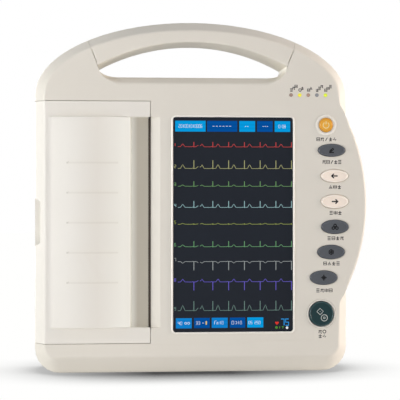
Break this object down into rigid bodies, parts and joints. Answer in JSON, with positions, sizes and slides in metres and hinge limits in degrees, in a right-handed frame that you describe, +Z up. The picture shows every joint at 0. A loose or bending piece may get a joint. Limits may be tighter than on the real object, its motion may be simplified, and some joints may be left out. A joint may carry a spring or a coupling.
{
  "type": "electrocardiograph",
  "caption": "Portable electrocardiograph with arched carry handle, upright screen, wing of keys and a thermal printer behind a sliding door.",
  "frame": {"origin": "centre of the flat base that the casing stands on, at the middle of its width and depth", "axes": "+X to the right seen from the front, +Y from the front face into the depth, +Z up"},
  "size_m": [0.3459, 0.0958, 0.3657],
  "materials": {
    "casing": "fine textured moulded ABS",
    "casing_rear": "fine textured moulded ABS",
    "grip": "fine textured moulded ABS",
    "door_plastic": "fine textured moulded ABS",
    "collar": "satin moulded ABS",
    "zinc": "zinc plated",
    "steel_sheet": "galvanised sheet",
    "shaft_steel": "ground",
    "spring_steel": "drawn wire",
    "panel_steel": "pressed sheet",
    "motor_can": "pressed can",
    "nickel": "nickel plated shell",
    "aluminium": "extruded",
    "bronze": "sintered bronze",
    "brass": "turned",
    "rubber": "matt",
    "platen_rubber": "ground",
    "silicone": "moulded silicone",
    "foam": "closed-cell foam tape",
    "nylon": "moulded acetal",
    "tray_plastic": "moulded ABS",
    "black_plastic": "moulded",
    "paper": "coated thermal paper",
    "card": "wound card",
    "ceramic": "glazed ceramic",
    "board": "solder mask on glass fibre",
    "battery": "shrink sleeve",
    "screen": "clear cover glass",
    "lamp_clear": "clear moulded light pipe",
    "key_orange": "moulded, printed symbol",
    "key_grey": "moulded, printed symbol",
    "key_beige": "moulded, printed arrow",
    "key_green": "moulded, printed symbol"
  },
  "bodies": {
    "base": {"front_case": "casing", "rear_case": "casing_rear", "handle_grip": "grip", "handle_screws": "zinc", "case_screws": "zinc", "rear_feet": "rubber", "door_guides": "nylon", "idler_pin": "shaft_steel", "stepper_motor": "motor_can", "printer_chassis": "steel_sheet", "paper_tray": "tray_plastic", "head_pivot_pin": "shaft_steel", "head_springs": "spring_steel", "screen_glass": "screen", "glass_gasket": "foam", "screen_panel": "panel_steel", "screen_bracket": "steel_sheet", "inner_screws": "zinc", "light_pipes": "lamp_clear", "led_lamps": "lamp_clear", "key_mat": "silicone", "key_board": "board", "power_key_collar": "collar", "main_board": "board", "power_supply": "board", "battery_pack": "battery", "battery_cover": "casing_rear", "speaker": "black_plastic", "patient_socket": "nickel", "data_sockets": "nickel", "network_socket": "nickel", "mains_inlet": "black_plastic", "switch_frame": "black_plastic", "earth_post": "brass"},
    "door": {"printer_door": "door_plastic", "door_runners": "steel_sheet", "platen_bracket": "steel_sheet", "platen_bushes": "bronze", "latch_spring": "spring_steel"},
    "latch": {"door_latch": "door_plastic"},
    "platen": {"platen_shaft": "shaft_steel", "platen_rubber": "platen_rubber", "platen_gear": "nylon"},
    "idler": {"idler_gear": "nylon"},
    "pinion": {"motor_pinion": "brass"},
    "roll": {"paper_roll": "paper", "paper_core": "card", "roll_spindle": "nylon"},
    "head": {"print_head": "ceramic", "head_heatsink": "aluminium"},
    "rocker": {"mains_switch": "black_plastic"},
    "power_key_body": {"power_key": "key_orange"},
    "setup_key_body": {"setup_key": "key_grey"},
    "previous_key_body": {"previous_key": "key_beige"},
    "next_key_body": {"next_key": "key_beige"},
    "record_key_body": {"record_key": "key_grey"},
    "freeze_key_body": {"freeze_key": "key_grey"},
    "mark_key_body": {"mark_key": "key_grey"},
    "start_key_body": {"start_key": "key_green"}
  },
  "joints": [
    {"name": "door_slide", "type": "slide", "parent": "base", "child": "door", "axis": [-1, 0, 0], "range_m": [0, 0.075]},
    {"name": "latch_press", "type": "slide", "parent": "door", "child": "latch", "axis": [1, 0, 0], "range_m": [0, 0.003], "stiffness_N_per_m": 800, "springref_m": -0.002, "deforming": ["latch_spring"]},
    {"name": "platen_spin", "type": "hinge", "parent": "door", "child": "platen", "pos_m": [-0.054, -0.0255, 0.157], "axis": [0, 0, 1], "continuous": true},
    {"name": "idler_spin", "type": "hinge", "parent": "base", "child": "idler", "pos_m": [-0.0384, -0.0255, 0.039], "axis": [0, 0, 1], "continuous": true},
    {"name": "motor_spin", "type": "hinge", "parent": "base", "child": "pinion", "pos_m": [-0.0384, -0.0129, 0.039], "axis": [0, 0, 1], "continuous": true},
    {"name": "roll_spin", "type": "hinge", "parent": "base", "child": "roll", "pos_m": [-0.085, 0.0085, 0.157], "axis": [0, 0, 1], "continuous": true},
    {"name": "head_float", "type": "hinge", "parent": "base", "child": "head", "pos_m": [-0.036, -0.012, 0.157], "axis": [0, 0, 1], "range_deg": [0, 2.5], "stiffness_Nm_per_rad": 2, "springref_deg": -5.73},
    {"name": "mains_rocker", "type": "hinge", "parent": "base", "child": "rocker", "pos_m": [0.158, 0.01, 0.093], "axis": [0, 1, 0], "range_deg": [-16, 0]},
    {"name": "power_key_press", "type": "slide", "parent": "base", "child": "power_key_body", "axis": [0, 1, 0], "range_m": [0, 0.0012], "stiffness_N_per_m": 600, "springref_m": -0.0008},
    {"name": "setup_key_press", "type": "slide", "parent": "base", "child": "setup_key_body", "axis": [0, 1, 0], "range_m": [0, 0.0012], "stiffness_N_per_m": 600, "springref_m": -0.0008},
    {"name": "previous_key_press", "type": "slide", "parent": "base", "child": "previous_key_body", "axis": [0, 1, 0], "range_m": [0, 0.0012], "stiffness_N_per_m": 600, "springref_m": -0.0008},
    {"name": "next_key_press", "type": "slide", "parent": "base", "child": "next_key_body", "axis": [0, 1, 0], "range_m": [0, 0.0012], "stiffness_N_per_m": 600, "springref_m": -0.0008},
    {"name": "record_key_press", "type": "slide", "parent": "base", "child": "record_key_body", "axis": [0, 1, 0], "range_m": [0, 0.0012], "stiffness_N_per_m": 600, "springref_m": -0.0008},
    {"name": "freeze_key_press", "type": "slide", "parent": "base", "child": "freeze_key_body", "axis": [0, 1, 0], "range_m": [0, 0.0012], "stiffness_N_per_m": 600, "springref_m": -0.0008},
    {"name": "mark_key_press", "type": "slide", "parent": "base", "child": "mark_key_body", "axis": [0, 1, 0], "range_m": [0, 0.0012], "stiffness_N_per_m": 600, "springref_m": -0.0008},
    {"name": "start_key_press", "type": "slide", "parent": "base", "child": "start_key_body", "axis": [0, 1, 0], "range_m": [0, 0.0012], "stiffness_N_per_m": 600, "springref_m": -0.0008}
  ],
  "couplings": [
    {"joint": "idler_spin", "follows": "platen_spin", "ratio": -0.85714},
    {"joint": "motor_spin", "follows": "platen_spin", "ratio": 1.7143}
  ]
}
